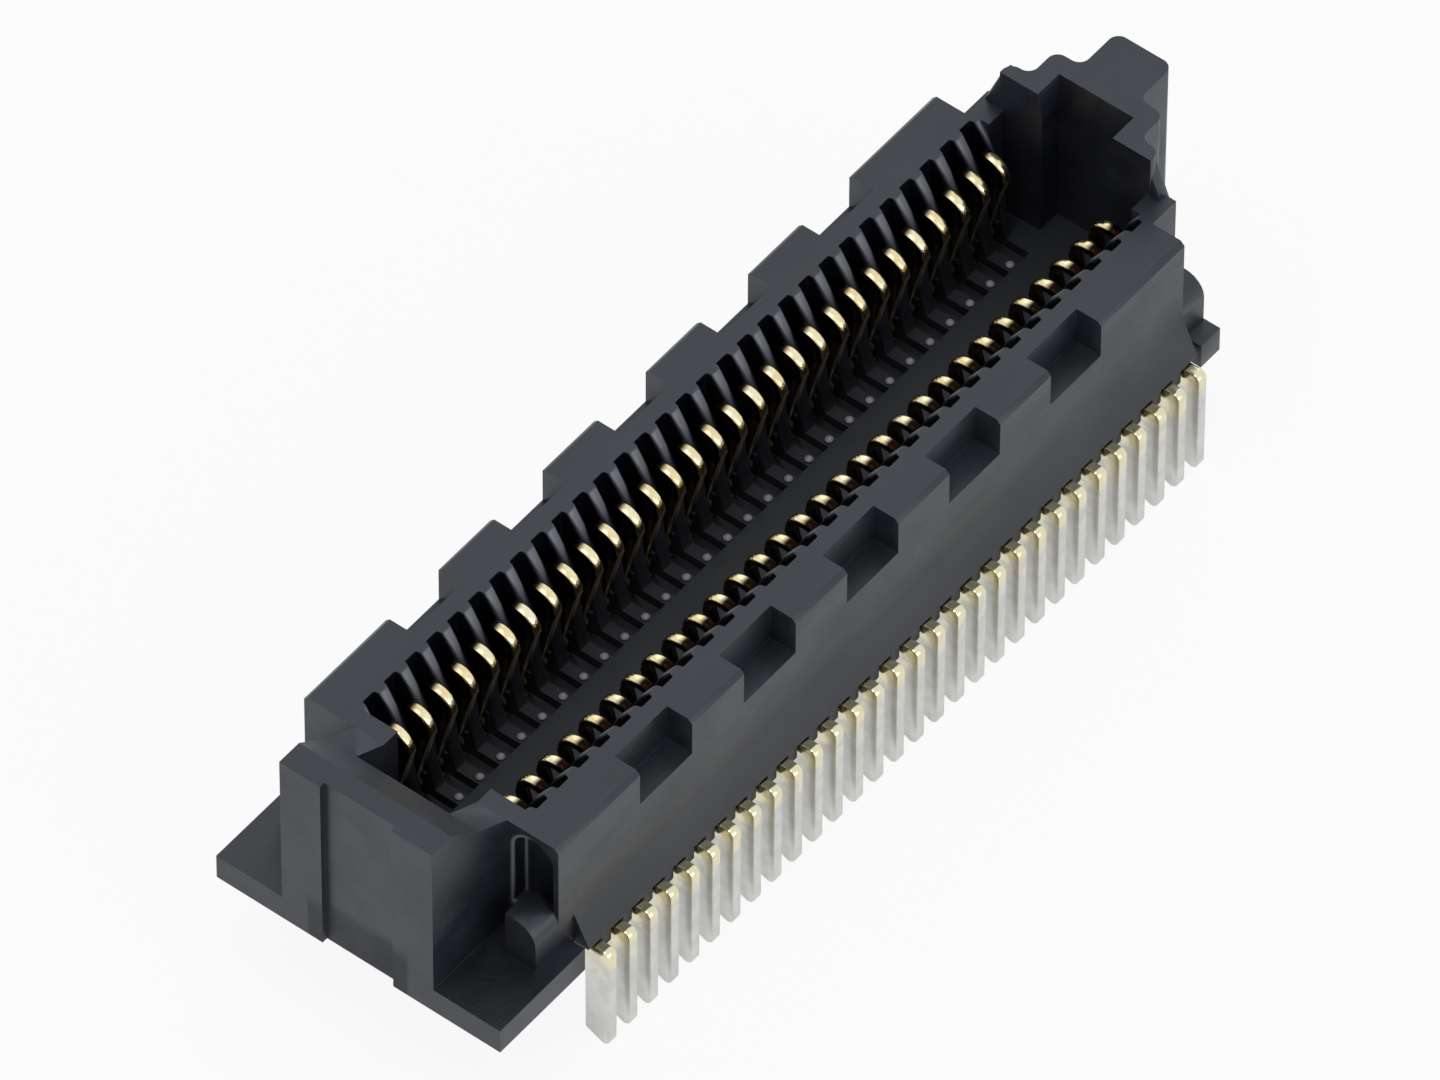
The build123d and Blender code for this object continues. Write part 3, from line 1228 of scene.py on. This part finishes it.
def face_object(thing: bpy.types.Object, target: Vector, back: Vector, distance: float) -> None:
    """Put a lamp or camera at a distance from a point, turned towards it.

    Args:
        thing: The lamp or camera.
        target: The point that it faces.
        back: The direction from the point to its place.
        distance: The distance, in metres.
    """
    bpy.context.scene.collection.objects.link(thing)
    thing.location = target + back * distance
    thing.rotation_mode = "QUATERNION"
    thing.rotation_quaternion = (-back).to_track_quat("-Z", "Y")


@dataclass(frozen=True)
class Lamp:
    """One soft square lamp: where it hangs in degrees, its distance and side in metres, its watts."""

    name: str
    azimuth: float
    elevation: float
    distance: float
    size: float
    watts: float

    def hang(self, target: Vector) -> None:
        """Hang the lamp, facing a point.

        Args:
            target: The point that it faces.
        """
        data = bpy.data.lights.new(self.name, "AREA")
        data.shape, data.size, data.energy = "SQUARE", self.size, self.watts
        lamp = bpy.data.objects.new(self.name, data)
        face_object(lamp, target, direction(self.azimuth, self.elevation), self.distance)


@dataclass
class Studio:
    """White floor, soft lamps, and the camera at the photograph's angle; angles are in degrees."""

    azimuth: float = -51.96
    elevation: float = 49.72
    roll: float = 0.28
    distance: float = 0.4846
    lens: float = 500.0
    sensor: float = 36.0
    clip: Span = (0.01, 20.0)
    target: Triple = (-0.260 * MM, 0.895 * MM, 4.001 * MM)
    floor_size: float = 1.6
    floor_steps: int = 8
    world_level: float = 0.50
    sky: Triple = (0.84, 0.92, 1.0)
    lamps: tuple[Lamp, ...] = (
        Lamp("left_lamp", -95.0, 30.0, 0.40, 0.22, 0.12),
        Lamp("front_lamp", -8.0, 30.0, 0.40, 0.22, 0.12),
        Lamp("low_lamp", 8.0, 15.0, 0.40, 0.20, 0.26),
        Lamp("top_lamp", -60.0, 82.0, 0.45, 0.15, 0.28),
        Lamp("back_lamp", 130.0, 35.0, 0.45, 0.30, 0.12),
    )

    def build(self) -> None:
        """Build everything that isn't part of the object."""
        self._floor()
        self._world()
        for lamp in self.lamps:
            lamp.hang(Vector(self.target))
        self._camera()
        bpy.context.scene.view_settings.view_transform = "Standard"
        log.info("studio: floor, world, %d lamps and camera", len(self.lamps))

    def _floor(self) -> None:
        """Lay the floor under the tail tips."""
        Bench.clear()
        bpy.ops.mesh.primitive_grid_add(
            x_subdivisions=self.floor_steps, y_subdivisions=self.floor_steps, size=self.floor_size
        )
        floor = bpy.context.object
        floor.name = "studio_floor"
        floor.data.materials.append(StudioFloor().material())

    def _world(self) -> None:
        """Light everything evenly, and show white to the camera and in reflections."""
        world = bpy.data.worlds.new("studio_world")
        bpy.context.scene.world = world
        paint = Paint(world, "ShaderNodeOutputWorld")
        seen = paint.node("ShaderNodeLightPath", {}, {}, "Is Camera Ray")
        mirrored = paint.node("ShaderNodeLightPath", {}, {}, "Is Glossy Ray")
        light = paint.node("ShaderNodeBackground", {}, {"Color": WHITE, "Strength": self.world_level})
        tint = paint.blend(mirrored, WHITE, self.sky)
        plain = paint.node("ShaderNodeBackground", {}, {"Color": tint, "Strength": 1.0})
        paint.finish(paint.node("ShaderNodeMixShader", {}, {0: seen.at_least(mirrored), 1: light, 2: plain}))

    def _camera(self) -> None:
        """Set the camera at the photograph's angle, with a long lens."""
        data = bpy.data.cameras.new("photo_camera")
        data.type, data.lens, data.sensor_width = "PERSP", self.lens, self.sensor
        data.clip_start, data.clip_end = self.clip
        camera = bpy.data.objects.new("photo_camera", data)
        face_object(camera, Vector(self.target), direction(self.azimuth, self.elevation), self.distance)
        tilt = Quaternion((0, 0, 1), math.radians(self.roll))
        camera.rotation_quaternion = camera.rotation_quaternion @ tilt
        bpy.context.scene.camera = camera


def main() -> None:
    """Build the connector, then the studio round it."""
    logging.basicConfig(level=logging.INFO, format="%(message)s")
    HousingMoulding().build(MouldedPlastic())
    ContactRows().build(PlatedMetal())
    Studio().build()


if __name__ == "__main__":
    main()
